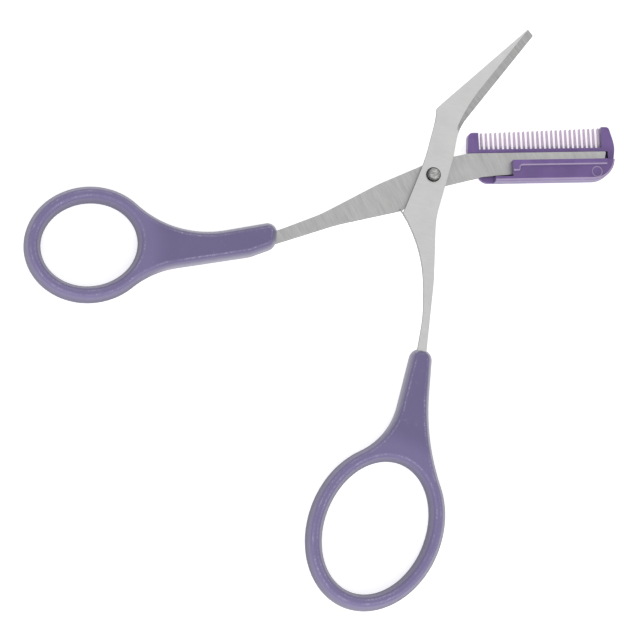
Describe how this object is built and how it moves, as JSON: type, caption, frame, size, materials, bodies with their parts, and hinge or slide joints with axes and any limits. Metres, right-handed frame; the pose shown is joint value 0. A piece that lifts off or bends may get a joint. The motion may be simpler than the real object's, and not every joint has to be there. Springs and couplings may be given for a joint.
{
  "type": "eyebrow scissors with comb",
  "caption": "Small straight-bladed scissors held open, with moulded finger loop handles and a slide-on comb guide on one blade.",
  "frame": {"origin": "centre of the overall box at the level of the handles' back faces, in the open rest pose", "axes": "+Z from the back of the scissors to the front, along the rivet; +X towards the comb end, within about 3 degrees of the rear cutting edge; +Y from the larger finger loop towards the front blade's tip"},
  "size_m": [0.1296, 0.1284, 0.005],
  "materials": {
    "steel_front": "satin, lightly sanded",
    "steel_rear": "satin, with arcing grind lines",
    "rivet_steel": "peened, dull",
    "handle_plastic": "moulded, satin, dusky purple",
    "comb_plastic": "moulded, semi-gloss, purple"
  },
  "bodies": {
    "rear_half": {"rear_blade": "steel_rear", "rear_handle": "handle_plastic", "pivot_rivet": "rivet_steel"},
    "front_half": {"front_blade": "steel_front", "front_handle": "handle_plastic"},
    "comb_guide": {"comb": "comb_plastic"}
  },
  "joints": [
    {"name": "blade_pivot", "type": "hinge", "parent": "rear_half", "child": "front_half", "pos_m": [0.02374, 0.0307, 0.0025], "axis": [0, 0, 1], "range_deg": [-45.5, 84]},
    {"name": "comb_slide", "type": "slide", "parent": "rear_half", "child": "comb_guide", "axis": [0.9986, 0.053, 0], "range_m": [0, 0.034]}
  ]
}
